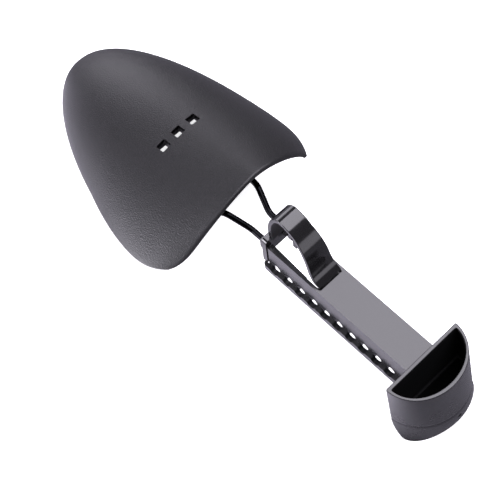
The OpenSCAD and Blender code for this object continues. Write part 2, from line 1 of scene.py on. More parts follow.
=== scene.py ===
# %% [markdown]
# # A shoe stretcher, dressed on its working frame
# The real object is a plastic shoe tree. A heel cup and a channel-shaped bar are one moulding, a
# slider with a finger loop runs in the bar, and a bent steel wire joins it to a thin toe shell.
# The solids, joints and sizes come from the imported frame. This lesson gives each part a finer
# surface and a finish, and leaves the sizes alone.

# %% Load the frame
import bpy, bmesh, math
import numpy as np
from mathutils import Matrix, Vector


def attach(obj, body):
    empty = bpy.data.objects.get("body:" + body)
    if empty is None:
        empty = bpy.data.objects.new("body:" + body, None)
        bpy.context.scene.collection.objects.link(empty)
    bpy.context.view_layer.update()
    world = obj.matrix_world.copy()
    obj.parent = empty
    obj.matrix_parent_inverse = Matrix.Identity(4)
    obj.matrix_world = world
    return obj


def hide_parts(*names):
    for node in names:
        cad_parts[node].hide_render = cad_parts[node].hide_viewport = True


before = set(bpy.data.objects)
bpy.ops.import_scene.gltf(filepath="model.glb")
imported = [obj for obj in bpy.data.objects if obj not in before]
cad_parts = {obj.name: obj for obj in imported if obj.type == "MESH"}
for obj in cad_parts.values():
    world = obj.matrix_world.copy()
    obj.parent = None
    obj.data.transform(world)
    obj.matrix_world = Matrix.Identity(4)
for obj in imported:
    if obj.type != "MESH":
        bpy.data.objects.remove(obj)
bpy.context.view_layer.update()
print("solids:", sorted(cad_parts))

# %% [markdown]
# ## Units and the camera
# Every size below is written in millimetres, as a drawing would give it, and turned into metres
# once. The drawing counts its length from the cup's front wall, and the frame counts from the
# cup's foot, so one shift carries the first into the second. Scaling each number by hand would
# work too, but a slip there is hard to find.

# %% Millimetres to the frame
MM = 0.001
FOOT_TO_WALL = 13.5


def to_frame(points_mm):
    """Adds the shift along the length and scales millimetres to metres."""
    p = np.array(points_mm, dtype=float)
    p[..., 0] += FOOT_TO_WALL
    return p * MM


print("the cup's foot is", FOOT_TO_WALL, "mm behind its front wall")

# %% [markdown]
# The photograph looks down on the tree from beside the heel, with a long lens. A camera needs its
# place and three directions that are square to each other: to the right, up, and backwards.

# %% Camera
CAMERA_PLACE_MM = (-140.0, 178.5, 577.0)
LOOK = Vector((0.37249, -0.27204, -0.88727))
RIGHT = Vector((-0.69301, -0.71743, -0.07097))
LENS_MM = 102.5

camera_data = bpy.data.cameras.new("camera")
camera_data.lens, camera_data.sensor_width = LENS_MM, 36.0
camera = bpy.data.objects.new("camera", camera_data)
bpy.context.scene.collection.objects.link(camera)
up = RIGHT.cross(LOOK).normalized()
turn = Matrix((RIGHT.normalized(), up, -LOOK.normalized())).transposed().to_4x4()
camera.matrix_world = Matrix.Translation(Vector(to_frame(CAMERA_PLACE_MM))) @ turn
bpy.context.scene.camera = camera
print("camera at", [round(v, 4) for v in camera.location])

# %% [markdown]
# ## Putting a computed surface into a mesh
# A surface here is an array of points with rows and columns. Neighbouring points become
# four-sided faces, and a direction that closes on itself wraps round to its first point.

# %% Grid of faces


def grid_faces(rows, cols, wrap_rows=False, wrap_cols=False):
    """Index of each quad (i, j), (i, j+1), (i+1, j+1), (i+1, j), with wrapping where asked."""
    i = np.arange(rows if wrap_rows else rows - 1)
    j = np.arange(cols if wrap_cols else cols - 1)
    a, b = np.meshgrid(i, j, indexing="ij")
    c, d = (a + 1) % rows, (b + 1) % cols
    return np.stack([a * cols + b, a * cols + d, c * cols + d, c * cols + b], -1).reshape(-1, 4)


def mesh_from(name, points, faces):
    """New mesh object from an array of points in metres and a list or array of faces."""
    mesh = bpy.data.meshes.new(name)
    corners = [list(map(int, face)) for face in faces]
    mesh.from_pydata(np.asarray(points).reshape(-1, 3).tolist(), [], corners)
    mesh.update()
    piece = bpy.data.objects.new(name, mesh)
    bpy.context.scene.collection.objects.link(piece)
    return piece


print("a grid of 3 by 4 points has", len(grid_faces(3, 4)), "faces")

# %% [markdown]
# Two points that fall together leave a face of no area, and a face that looks inwards renders
# black. One clean-up after each build takes care of both.

# %% Clean-up and shading


def clean(piece, merge_mm=0.001):
    """Merges doubles, drops faces of no area and turns all faces outwards."""
    work = bmesh.new()
    work.from_mesh(piece.data)
    bmesh.ops.remove_doubles(work, verts=work.verts, dist=merge_mm * MM)
    bmesh.ops.dissolve_degenerate(work, dist=merge_mm * MM, edges=work.edges)
    bmesh.ops.recalc_face_normals(work, faces=work.faces)
    work.to_mesh(piece.data)
    work.free()
    piece.data.update()


def smooth_by_angle(piece, degrees=32):
    """Shades smooth, and keeps edges sharper than the angle as creases."""
    piece.data.shade_smooth()
    piece.data.set_sharp_from_angle(angle=math.radians(degrees))


def report(piece):
    """Prints the piece's name and its number of faces."""
    print(piece.name, "faces", len(piece.data.polygons))


# %% [markdown]
# ## Working with solids
# Straight mouldings are quickest as prisms: an outline carried along one axis. Cuts and unions
# are booleans, applied at once so that the finished mesh holds them.

# %% Prism


def prism(name, outline, low, high, axis):
    """Outline (n, 2) carried along an axis from low to high. It runs in the other two axes."""
    flat = np.asarray(outline, dtype=float)
    n = len(flat)
    others = [k for k in range(3) if k != axis]
    points = np.zeros((2, n, 3))
    points[:, :, others[0]] = flat[:, 0]
    points[:, :, others[1]] = flat[:, 1]
    points[0, :, axis], points[1, :, axis] = low, high
    faces = grid_faces(2, n, wrap_cols=True).tolist() + [list(range(n)), list(range(n, 2 * n))]
    piece = mesh_from(name, to_frame(points), faces)
    clean(piece)
    return piece


def block(name, low, high):
    """Straight box between two corners in millimetres."""
    x0, y0, x1, y1 = low[0], low[1], high[0], high[1]
    return prism(name, [(x0, y0), (x1, y0), (x1, y1), (x0, y1)], low[2], high[2], 2)


# %% Booleans, joining and softened edges


def bake(piece):
    """Applies the piece's modifiers to its mesh."""
    bpy.context.view_layer.update()
    seen = piece.evaluated_get(bpy.context.evaluated_depsgraph_get())
    mesh = bpy.data.meshes.new_from_object(seen)
    piece.modifiers.clear()
    piece.data = mesh


def combine(piece, tools, operation):
    """Cuts the tools out of the piece or adds them to it, and removes them."""
    for tool in tools:
        step = piece.modifiers.new("step", "BOOLEAN")
        step.operation, step.solver, step.object = operation, "EXACT", tool
    bake(piece)
    for tool in tools:
        bpy.data.objects.remove(tool)


def join(name, parts):
    """One object from several."""
    work = bmesh.new()
    for part in parts:
        work.from_mesh(part.data)
        bpy.data.objects.remove(part)
    mesh = bpy.data.meshes.new(name)
    work.to_mesh(mesh)
    work.free()
    piece = bpy.data.objects.new(name, mesh)
    bpy.context.scene.collection.objects.link(piece)
    return piece


def weigh(piece):
    """Lets large flat faces set the shading of their borders."""
    step = piece.modifiers.new("flat", "WEIGHTED_NORMAL")
    step.keep_sharp, step.weight = True, 90
    bake(piece)


def soften(piece, width_mm=0.3, segments=3, degrees=35):
    """Rounds the edges that are sharper than the angle, and shades smooth."""
    bevel = piece.modifiers.new("edge", "BEVEL")
    bevel.width, bevel.segments, bevel.limit_method = width_mm * MM, segments, "ANGLE"
    bevel.angle_limit = math.radians(degrees)
    bevel.use_clamp_overlap = True
    bake(piece)
    smooth_by_angle(piece)
    weigh(piece)


# %% [markdown]
# ## Toe shell
# The shell is the largest form: a thin dome, open underneath, narrow at the toe and cut straight
# across at the rear. Its outline, its ridge and its height each follow a short formula in the
# length t, which runs from 0 at the rear edge to 1 at the toe. A sculpted mesh could be closer in
# places, but a formula stays fair and can be changed by one number.

# %% Toe shell sizes
SHELL_START, SHELL_LEN = 104.0, 135.0
SHELL_HALF, SHELL_REAR_HALF = 45.8, 40.2
RIM_REAR_Z, CROWN = 31.0, 22.3
REAR_SHIFT, TOE_SHIFT = 2.0, 14.4
CORNER_SPAN, CORNER_POWER, TOE_POWER, SHIFT_POWER = 0.17, 2.6, 1.6, 1.25
CROWN_POWER, CROWN_ROUND, RIDGE_SIDE = 3.2, 0.6, -0.25
SHELL_WALL, ROLL, BAND_W, BAND_H = 2.0, 1.9, 0.018, 0.5
RIM_SAG, REAR_SAG, TIP_STOP, TIP_FADE = 0.35, 0.05, 0.9995, 30
LIFT_SPAN, CORNER_REACH, CORNER_LIFT = 0.45, 0.6, 2.0
ROUND_FROM, ROUND_SPAN, CORNER_BACK = 0.68, 0.3, 3.8
SWELL_SPAN, SIDE_SWELL = 0.48, 1.3
print("shell", SHELL_LEN, "mm long and", 2 * SHELL_HALF, "mm wide")

# %% Toe shell formulas


def half_width(t):
    """Full width less a rounded rear corner, then narrowing like the square root of 1 - s^1.6."""
    before = np.clip((CORNER_SPAN - t) / CORNER_SPAN, 0, None)
    corner = before**CORNER_POWER * (SHELL_HALF - SHELL_REAR_HALF)
    toe = np.clip((t - CORNER_SPAN) / (1 - CORNER_SPAN), 0, 1) ** TOE_POWER
    return (SHELL_HALF - corner) * np.sqrt(np.clip(1 - toe, 0, None))


def middle(t):
    """The middle line runs from a little left at the rear to the right at the toe."""
    return REAR_SHIFT - TOE_SHIFT * t**SHIFT_POWER


def rim_height(t):
    """The rim falls evenly to the resting plane at the toe."""
    return RIM_REAR_Z * (1 - t)


def crown_height(t):
    """The crown keeps its height for most of the length and then rounds down."""
    return CROWN * np.clip(1 - t**CROWN_POWER, 0, None) ** CROWN_ROUND


def dome(u, t):
    """Height share across the width: 1 on the ridge, 0 at both rims, u from -1 right to 1 left."""
    # A larger power n keeps the top flatter, a smaller power m makes the flank steeper.
    ridge = RIDGE_SIDE * (1 - t)
    left = u > ridge
    s = np.where(left, (u - ridge) / (1 - ridge), (ridge - u) / (1 + ridge))
    n = np.where(left, 1.5 + 0.6 * t, 1.7 + 0.4 * t)
    m = np.where(left, 1.1 - 0.6 * np.sqrt(t), 0.8 - 0.3 * np.sqrt(t))
    return np.clip(1 - np.clip(s, 0, 1) ** n, 0, 1) ** m


def flare(u, t):
    """Share of the right rear corner's extra reach: u squared, fading along the length."""
    return np.where(u < 0, u * u, 0) * np.clip(1 - t / LIFT_SPAN, 0, 1) ** 2


def rounding(u, t):
    """Share of the left rear corner's rounding: cube of how far u is past its start."""
    past = np.clip((u - ROUND_FROM) / (1 - ROUND_FROM), 0, None)
    return past**3 * np.clip(1 - t / ROUND_SPAN, 0, 1) ** 2


def swell(u, t):
    """Share of the left side's extra width: u squared times half a sine wave in the length."""
    return np.where(u > 0, u * u, 0) * np.sin(np.pi * np.clip(t / SWELL_SPAN, 0, 1))


# %% [markdown]
# The wall has a thickness, so the surface is a closed ring at each length: across the outside,
# round one rim, back across the inside and round the other rim. A slightly raised band runs along
# the rear edge, and there the outside rolls over to the inside.

# %% Toe shell surface


def shell_point(t, a, w):
    """Point at length t, angle a across and depth w in the wall, 0 outside and 1 inside."""
    u = -np.cos(a)
    wall = SHELL_WALL * w
    half = np.maximum(half_width(t) - wall, 0)
    rise = np.maximum(crown_height(t) - wall, 0)
    ramp = np.clip(1 - SHELL_LEN * t / ROLL, 0, 1)
    raised = BAND_H * np.clip(1 - t / BAND_W, 0, 1)
    band = (raised - ROLL * (1 - np.sqrt(1 - ramp**2))) * (1 - w)
    x = SHELL_START + SHELL_LEN * t - wall * t + CORNER_BACK * rounding(u, t)
    y = middle(t) + half * u - CORNER_REACH * flare(u, t) + SIDE_SWELL * swell(u, t)
    z = rim_height(t) + (rise + band) * dome(u, t) + CORNER_LIFT * flare(u, t)
    return np.stack([x, y, z], -1)


def shell_skin(rows=150, cols=110, edge=7):
    """Rings round the wall from the rear edge to the toe. Rims and rear edge are half round."""
    across = np.linspace(0, np.pi, cols)
    bend = np.linspace(0, np.pi, edge + 2)[1:-1]
    a = np.concatenate([across, np.full(edge, np.pi), across[::-1], np.zeros(edge)])
    turn_w = (1 - np.cos(bend)) / 2
    w = np.concatenate([np.zeros(cols), turn_w, np.ones(cols), turn_w[::-1]])
    sag = np.concatenate([np.zeros(cols), np.sin(bend), np.zeros(cols), np.sin(bend)])
    roll = ROLL / SHELL_LEN * (1 - np.cos(np.linspace(0, np.pi / 2, 9)))
    t = np.concatenate([roll, TIP_STOP * np.sin(np.linspace(0.025, np.pi / 2, rows))])
    ring = shell_point(t[:, None], a[None, :], w[None, :])
    fade_out = np.clip((1 - t) * TIP_FADE, 0, 1)
    ring[..., 2] -= RIM_SAG * SHELL_WALL * sag[None, :] * fade_out[:, None]
    quarter = np.linspace(np.pi / 2, 0, 5)[:-1, None]
    depth = 0.5 + (w[None, :] - 0.5) * np.cos(quarter)
    start = shell_point(np.zeros((4, 1)), a[None, :], depth)
    start[..., 0] -= REAR_SAG * SHELL_WALL * np.sin(quarter)
    start[..., 2] -= RIM_SAG * SHELL_WALL * sag[None, :] * np.cos(quarter)
    return np.concatenate([start, ring])


skin = shell_skin()
rows, cols = skin.shape[:2]
faces = grid_faces(rows, cols, wrap_cols=True).tolist()
faces.append(list(range((rows - 1) * cols, rows * cols)))
toe_shell = mesh_from("shell_skin", to_frame(skin), faces)
clean(toe_shell)
report(toe_shell)

# %% [markdown]
# Three square vents go through the crown, and a collar under each makes it deep and dark. The
# collars reach up into the shell's wall, which slopes, so their tops follow the dome's formula.

# %% Vents
VENT_X, VENT_Y, VENT_PITCH, VENT_WIDTH, VENT_R = 150.5, -4.5, 8.9, 5.0, 0.4
COLLAR_H, COLLAR_T, COLLAR_SINK, COLLAR_R = 3.8, 1.2, 0.7, 0.6
ROD_LOW, ROD_HIGH = 30, 52


def shell_top(x, y):
    """Height of the outside above points of the plan."""
    t = (np.asarray(x) - SHELL_START) / SHELL_LEN
    return rim_height(t) + crown_height(t) * dome((np.asarray(y) - middle(t)) / half_width(t), t)


def rounded_box(x, y, wide, radius, steps=5):
    """Square outline with quarter circles at its corners."""
    a = np.linspace(0, np.pi / 2, steps)
    half = wide / 2 - radius
    corners = [((1, 1), 0), ((-1, 1), 1), ((-1, -1), 2), ((1, -1), 3)]
    arcs = [np.stack([x + sx * half + radius * np.cos(a + q * np.pi / 2),
                      y + sy * half + radius * np.sin(a + q * np.pi / 2)], -1)
            for (sx, sy), q in corners]
    return np.concatenate(arcs)


def vent_rod(y):
    """Cutter through the shell and its collar."""
    return prism("vent", rounded_box(VENT_X, y, VENT_WIDTH, VENT_R), ROD_LOW, ROD_HIGH, 2)


def collar(y):
    """Square tube with a flat lower end and a top that follows the dome."""
    outline = rounded_box(VENT_X, y, VENT_WIDTH + 2 * COLLAR_T, COLLAR_R)
    n = len(outline)
    low = shell_top(VENT_X, y) - SHELL_WALL - COLLAR_H
    high = shell_top(outline[:, 0], outline[:, 1]) - COLLAR_SINK
    rings = np.stack([np.column_stack([outline, z]) for z in (np.full(n, low), high)])
    faces = grid_faces(2, n, wrap_cols=True).tolist() + [list(range(n)), list(range(n, 2 * n))]
    piece = mesh_from("collar", to_frame(rings), faces)
    clean(piece)
    combine(piece, [vent_rod(y)], "DIFFERENCE")
    return piece


vent_rows = [VENT_Y + k * VENT_PITCH for k in (-1, 0, 1)]
combine(toe_shell, [vent_rod(y) for y in vent_rows], "DIFFERENCE")
smooth_by_angle(toe_shell, 40)
report(toe_shell)

# %% Vent collars
collars = join("vent_collars", [collar(y) for y in vent_rows])
smooth_by_angle(collars, 40)
report(collars)

# %% [markdown]
# Under the rear of the shell hang two eyes, each a web with a round lower end and a bore for the
# wire's tip.

# %% Pivot eyes
WIRE_R = 1.4
PIVOT_X, PIVOT_Z = 122.5, 33.2
EYE_START, EYE_LEN, EYE_RADIUS, EYE_BORE, EYE_SINK = 15.8, 4.6, 3.3, 1.48, 1.0


def circle(x, z, radius, steps=40):
    """Points on a circle."""
    a = np.linspace(0, 2 * np.pi, steps + 1)[:-1]
    return np.stack([x + radius * np.cos(a), z + radius * np.sin(a)], -1)


def eye(side):
    """Web with a round lower end, from the pivot up into the shell."""
    low, high = sorted((side * EYE_START, side * (EYE_START + EYE_LEN)))
    arc = np.linspace(np.pi, 2 * np.pi, 24)
    top = float(min(shell_top(PIVOT_X, low), shell_top(PIVOT_X, high))) - EYE_SINK
    outline = np.stack([PIVOT_X + EYE_RADIUS * np.cos(arc), PIVOT_Z + EYE_RADIUS * np.sin(arc)], -1)
    outline = np.concatenate([outline, [[PIVOT_X + EYE_RADIUS, top], [PIVOT_X - EYE_RADIUS, top]]])
    web = prism("web", outline, low, high, 1)
    bore = prism("bore", circle(PIVOT_X, PIVOT_Z, EYE_BORE), low - 2, high + 2, 1)
    combine(web, [bore], "DIFFERENCE")
    return web


eyes = join("shell_eyes", [eye(1), eye(-1)])
soften(eyes, 0.25, 2)
report(eyes)

# %% [markdown]
# ## Heel cup and its cap
# The cup is flat in front and round behind, and leans a little to the right as it goes down. Each
# height has one closed outline, and a path that climbs the outside, turns over the lip and goes
# down inside picks the heights. Turning it on a lathe wouldn't give the flat front.

# %% Cup outlines
CUP_H, CUP_HALF, CUP_DEPTH, CUP_WALL = 42.5, 20.75, 18.2, 1.7
SEAM_Z, ROUND_H = 14.5, 13.5
FRONT_LEAN, REAR_LEAN, SIDE_LEAN, SKEW = 0.085, 0.1, 0.034, 0.038
FOOT_FRONT, FOOT_REAR, FOOT_SIDE, FOOT_END = 7.0, 2.8, 0.5, 0.97


def foot_share(z):
    """0 above the rounding, growing like a circle towards the foot."""
    return 1 - np.sqrt(1 - np.clip(FOOT_END * (ROUND_H - z) / ROUND_H, 0, None) ** 2)


def cup_outline(z, inset, count=240, passes=9):
    """Front line and half ellipse at height z, moved in by inset, with its corners rounded."""
    drop = CUP_H - z
    front = -FRONT_LEAN * drop - FOOT_FRONT * foot_share(z) - inset
    back = -CUP_DEPTH - REAR_LEAN * drop + FOOT_REAR * foot_share(z) + inset
    side = CUP_HALF - FOOT_SIDE * foot_share(z) - inset
    a = np.linspace(np.pi / 2, -np.pi / 2, count)
    x = front[..., None] - (front - back)[..., None] * np.cos(a)
    y = side[..., None] * np.sin(a) - drop[..., None] * (SIDE_LEAN + SKEW * np.cos(a))
    line = np.linspace(-1, 1, count // 2 + 2)[1:-1]
    x = np.concatenate([x, np.broadcast_to(front[..., None], front.shape + line.shape)], -1)
    y = np.concatenate([y, side[..., None] * line - drop[..., None] * SIDE_LEAN], -1)
    for _ in range(passes):
        x = (np.roll(x, 1, -1) + 2 * x + np.roll(x, -1, -1)) / 4
        y = (np.roll(y, 1, -1) + 2 * y + np.roll(y, -1, -1)) / 4
    return np.stack([x, y, np.broadcast_to(z[..., None], x.shape)], -1)


# %% Cup wall
LIP, WALL_ROWS, SEAM_STEP, SEAM_RISE = 0.35, 26, 0.3, 0.35
over = np.linspace(0, np.pi / 2, 6)
up_z = np.linspace(SEAM_Z + SEAM_RISE, CUP_H - LIP, WALL_ROWS)
bend_z = CUP_H - LIP + LIP * np.sin(over)
bend_in = LIP - LIP * np.cos(over)
wall_z = np.concatenate([[SEAM_Z], up_z, bend_z, bend_z[::-1], up_z[::-1], [SEAM_Z]])
outer_in = np.concatenate([[SEAM_STEP], np.zeros(WALL_ROWS), bend_in])
inner_in = np.concatenate([(CUP_WALL - bend_in)[::-1], np.full(WALL_ROWS + 1, CUP_WALL)])
points = cup_outline(wall_z, np.concatenate([outer_in, inner_in]))
cup_wall = mesh_from("cup_wall", to_frame(points), grid_faces(*points.shape[:2], True, True))
clean(cup_wall)
smooth_by_angle(cup_wall, 45)
weigh(cup_wall)
report(cup_wall)

# %% [markdown]
# The cap is a shallow vessel with a thin spigot that stands inside the cup. Its outside runs from
# the spigot down to the foot, its inside climbs back, and a narrow band joins the two at the top.

# %% Cap
SPIGOT_TOP, SPIGOT_OUT, SPIGOT_IN = SEAM_Z + 2.9, 1.9, 2.95
SEAM_GAP, SHOULDER_GAP, CAP_ROWS, INSIDE_ROWS, CAP_WALL = 0.05, 0.04, 30, 24, 2.4
down = (SEAM_Z - SEAM_GAP) * (1 - np.linspace(0, 1, CAP_ROWS) ** 0.7)
climb = CUP_WALL + (SPIGOT_TOP - CUP_WALL) * np.linspace(0, 1, INSIDE_ROWS) ** 1.4
outside_z = np.concatenate([[SPIGOT_TOP, SEAM_Z - SHOULDER_GAP], down])
outside_in = np.concatenate([[SPIGOT_OUT, SPIGOT_OUT, SEAM_STEP], np.zeros(len(down) - 1)])
inside_in = np.interp(climb, [CUP_WALL, SEAM_Z - 3, SEAM_Z + 3], [CUP_WALL, CAP_WALL, SPIGOT_IN])


def vessel(name, outside, inside):
    """Grids of an outside and an inside, a floor under each and a band between their tops."""
    (n, m), k = outside.shape[:2], inside.shape[0]
    top = np.arange(m)
    last = (n + k - 1) * m + top
    faces = grid_faces(n, m, wrap_cols=True).tolist() + [((n - 1) * m + top).tolist()]
    faces += (grid_faces(k, m, wrap_cols=True) + n * m).tolist() + [(n * m + top).tolist()]
    faces += np.stack([top, np.roll(top, -1), np.roll(last, -1), last], -1).tolist()
    piece = mesh_from(name, to_frame(np.concatenate([outside, inside])), faces)
    clean(piece)
    return piece


cup_cap = vessel("cup_cap", cup_outline(outside_z, outside_in), cup_outline(climb, inside_in))
report(cup_cap)

# %% [markdown]
# A small vent goes through the cap's rear. Its cutter is a round rod, so a helper that carries a
# circle along any path comes first. The same helper makes the wire later.

# %% Tube along a path


def tube(name, path, radius, around=28):
    """Circle square to the path at each point, with one axis level: the path's direction x up."""
    path = np.asarray(path, dtype=float)
    along = np.gradient(path, axis=0)
    along /= np.linalg.norm(along, axis=1, keepdims=True)
    level = np.cross(along, (0.0, 0.0, 1.0))
    level /= np.linalg.norm(level, axis=1, keepdims=True)
    raised = np.cross(along, level)
    a = np.linspace(0, 2 * np.pi, around + 1)[:-1]
    ring = level[:, None] * np.cos(a)[None, :, None] + raised[:, None] * np.sin(a)[None, :, None]
    points = path[:, None] + radius * ring
    n = len(path)
    ends = [list(range(around)), list(range((n - 1) * around, n * around))]
    piece = mesh_from(name, to_frame(points), grid_faces(n, around, wrap_cols=True).tolist() + ends)
    clean(piece)
    return piece


# %% Vent in the cap
HOLE_Z, HOLE_TURN, HOLE_R = 9.4, math.radians(190), 1.0
ROD_FROM, ROD_TO = 8, 26
hole_start = np.array([-6.0, 0.0, HOLE_Z])
hole_way = np.array([math.cos(HOLE_TURN), math.sin(HOLE_TURN), 0.0])
rod_ends = [hole_start + ROD_FROM * hole_way, hole_start + ROD_TO * hole_way]
combine(cup_cap, [tube("vent_rod", rod_ends, HOLE_R)], "DIFFERENCE")
smooth_by_angle(cup_cap, 45)
report(cup_cap)

# %% [markdown]
# ## The bar
# The bar is a channel with its open side down: a top plate, two side walls, a flange along each
# wall and ten windows for the catch. One section is carried along the plate's length, and the
# walls go on in front of it. The rear end leans like the cup's front wall and stays in it.

# %% Bar sizes
BAR_HALF, BAR_TOP, BAR_LOW, PLATE, WALL = 7.9, 39.4, 21.35, 1.8, 1.5
BAR_START, PLATE_END, WALL_END = -1.0, 50.5, 81.0
FLANGE_START, FLANGE_END, FLANGE_W, FLANGE_H, FLANGE_SINK = -2.6, 83.3, 1.95, 3.6, 0.7
LIP_W, LIP_H, NO_LIP = 1.0, 1.4, 0.02
TOP_LIP, TOP_LIP_TIP, TOP_LIP_DROP, TOP_LIP_SINK = 22.0, 0.4, 0.3, 0.3
WINDOW_Z, WINDOW_R, WINDOW_FIRST, WINDOW_PITCH, WINDOWS = 26.0, 2.35, 9.0, 7.5, 10
POCKET_W, POCKET_DEPTH = 4.7, 1.0
INNER = BAR_HALF - WALL
FILLET_R, FILLET_SINK, PLATE_EDGE = 0.9, 0.5, 0.6
SIDES, OVERLAP, THROUGH, IN_WALL = (1, -1), 2, 12, 0.85
print("windows every", WINDOW_PITCH, "mm")

# %% Bar outlines


def channel_outline():
    """Section of the channel with its two inward lips, seen along the bar."""
    outer = np.array([(INNER - LIP_W, BAR_LOW), (BAR_HALF, BAR_LOW), (BAR_HALF, BAR_TOP)])
    inner = np.array([(INNER, BAR_TOP - PLATE), (INNER, BAR_LOW + LIP_H),
                      (INNER - LIP_W, BAR_LOW + LIP_H)])
    return np.concatenate([outer, outer[::-1] * [-1, 1], inner[::-1] * [-1, 1], inner])


def wall_outline(side, lip):
    """One side wall with its inward lip, seen along the bar."""
    path = [(INNER - lip, BAR_LOW), (BAR_HALF, BAR_LOW), (BAR_HALF, BAR_TOP), (INNER, BAR_TOP),
            (INNER, BAR_LOW + LIP_H), (INNER - lip, BAR_LOW + LIP_H)]
    return np.array(path) * [side, 1]


def top_lip_outline(side):
    """Plan of one top lip, which tapers away from the bar's front end."""
    start, root = WALL_END - TOP_LIP, INNER + TOP_LIP_SINK
    path = [(start, INNER - TOP_LIP_TIP), (WALL_END, INNER - WALL), (WALL_END, root), (start, root)]
    return np.array(path) * [1, side]


def flange_outline(side, steps=14):
    """Plan of one flange, round at its front end."""
    a = np.linspace(np.pi / 2, 0, steps)
    middle_x, root = FLANGE_END - FLANGE_W, BAR_HALF - FLANGE_SINK
    arc = np.stack([middle_x + FLANGE_W * np.cos(a), BAR_HALF + FLANGE_W * np.sin(a)], -1)
    path = np.concatenate([[[FLANGE_START, root], [FLANGE_START, BAR_HALF + FLANGE_W]], arc,
                           [[WALL_END, BAR_HALF], [WALL_END, root]]])
    return path * [1, side]


def fillet_outline(steps=12):
    """Concave quarter circle in the corner between the plate and the cup's front wall."""
    a = np.linspace(0, np.pi / 2, steps)
    arc = np.stack([FILLET_R * (1 - np.sin(a)), BAR_TOP + FILLET_R * (1 - np.cos(a))], -1)
    low = BAR_TOP - FILLET_SINK
    root = [[BAR_START, BAR_TOP + FILLET_R], [BAR_START, low], [FILLET_R, low]]
    return np.concatenate([root, arc])


# %% Bar body
bar = prism("bar", channel_outline(), BAR_START, PLATE_END, 0)
last_window = WINDOW_FIRST + WINDOW_PITCH * (WINDOWS - 1)
parts = [prism("wall", wall_outline(side, LIP_W), PLATE_END - OVERLAP, last_window, 0)
         for side in SIDES]
parts += [prism("end", wall_outline(side, NO_LIP), last_window - OVERLAP, WALL_END, 0)
          for side in SIDES]
parts += [prism("flange", flange_outline(side), BAR_LOW, BAR_LOW + FLANGE_H, 2) for side in SIDES]
parts += [prism("lip", top_lip_outline(side), BAR_TOP - PLATE, BAR_TOP - TOP_LIP_DROP, 2)
          for side in SIDES]
parts += [prism("fillet", fillet_outline(), -BAR_HALF + PLATE_EDGE, BAR_HALF - PLATE_EDGE, 1)]
combine(bar, parts, "UNION")
report(bar)

# %% Windows and pockets
at = WINDOW_FIRST + WINDOW_PITCH * np.arange(WINDOWS)
holes = [prism("hole", circle(x, WINDOW_Z, WINDOW_R), -THROUGH, THROUGH, 1) for x in at]
half_pocket = POCKET_W / 2
pocket_top = INNER + POCKET_DEPTH
pockets = [block("pocket", (x - half_pocket, -pocket_top, BAR_LOW - 1),
                 (x + half_pocket, pocket_top, WINDOW_Z)) for x in at]
combine(bar, [join("holes", holes)], "DIFFERENCE")
combine(bar, [join("pockets", pockets)], "DIFFERENCE")
report(bar)

# %% [markdown]
# The rear end is sheared to the cup's lean, so that it ends inside the cup's front wall at every
# height, and then all edges are rounded as a mould rounds them.

# %% Rear end and edges
coords = np.zeros(3 * len(bar.data.vertices))
bar.data.vertices.foreach_get("co", coords)
coords = coords.reshape(-1, 3)
rear = coords[:, 0] < (FOOT_TO_WALL + BAR_START / 2) * MM
lean = FRONT_LEAN * (CUP_H * MM - coords[rear, 2])
coords[rear, 0] = FOOT_TO_WALL * MM - lean - IN_WALL * MM
bar.data.vertices.foreach_set("co", coords.ravel())
bar.data.update()
soften(bar, 0.3, 3)
report(bar)

# %% [markdown]
# ## Slider
# The block and the tongue already have the right shape as solids. Their triangles are merged into
# a copy and the edges are rounded. The finger loop shows long soft reflections, which need a finer
# surface than the solid has, so it is cut off the copy and built again.

# %% Slider body


def merged_copy(node, name):
    """Copy of a solid with merged triangles and joined flat areas."""
    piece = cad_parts[node].copy()
    piece.data = piece.data.copy()
    for key in list(piece.keys()):
        del piece[key]
    piece.parent = None
    piece.name = name
    bpy.context.scene.collection.objects.link(piece)
    work = bmesh.new()
    work.from_mesh(piece.data)
    bmesh.ops.remove_doubles(work, verts=work.verts, dist=0.002 * MM)
    flat = math.radians(1.0)
    bmesh.ops.dissolve_limit(work, angle_limit=flat, verts=work.verts, edges=work.edges)
    bmesh.ops.recalc_face_normals(work, faces=work.faces)
    work.to_mesh(piece.data)
    work.free()
    return piece


BLOCK_X, BLOCK_TOP, FOOT_Z, FOOT_DROP = 81.4, 44.0, 40.6, 0.9
ROOM_START, ROOM_END, ROOM_Y, ROOM_TOP = 40, 95, 10, 70
slide_body = merged_copy("slider", "slide_body")
loop_room = [
    block("room", (ROOM_START, -ROOM_Y, FOOT_Z - FOOT_DROP), (BLOCK_X - 0.1, ROOM_Y, ROOM_TOP)),
    block("room", (BLOCK_X - 1, -ROOM_Y, BLOCK_TOP), (ROOM_END, ROOM_Y, ROOM_TOP))]
combine(slide_body, loop_room, "DIFFERENCE")
soften(slide_body, 0.3, 3, 40)
report(slide_body)

# %% [markdown]
# The loop is a strip that rises from the block, turns over its crown and runs down to a flat foot.
# Three curves through four control points each give its side view. Across, it is a flat strip with
# small round corners, wider at the foot.

# %% Finger loop line
LOOP_CURVES = [
    [(82.4, 43.0), (84.6, 54.0), (80.4, 66.2), (74.4, 66.2)],
    [(74.4, 66.2), (67.6, 66.2), (59.6, 58.4), (57.0, 48.6)],
    [(57.0, 48.6), (55.6, 43.4), (52.8, FOOT_Z + 1.1), (51.1, FOOT_Z)]]
LOOP_T, LOOP_W, FOOT_W, LOOP_CORNER = 2.0, 10.0, 12.9, 0.35
FLARE_FROM, FLARE_TO = 54.0, 66.0


def curve_points(control, steps):
    """Cubic curve: each control point weighs in with the powers of s and 1 - s."""
    p = np.array(control)
    s = np.linspace(0, 1, steps)[:, None]
    r = 1 - s
    return r**3 * p[0] + 3 * r**2 * s * p[1] + 3 * r * s**2 * p[2] + s**3 * p[3]


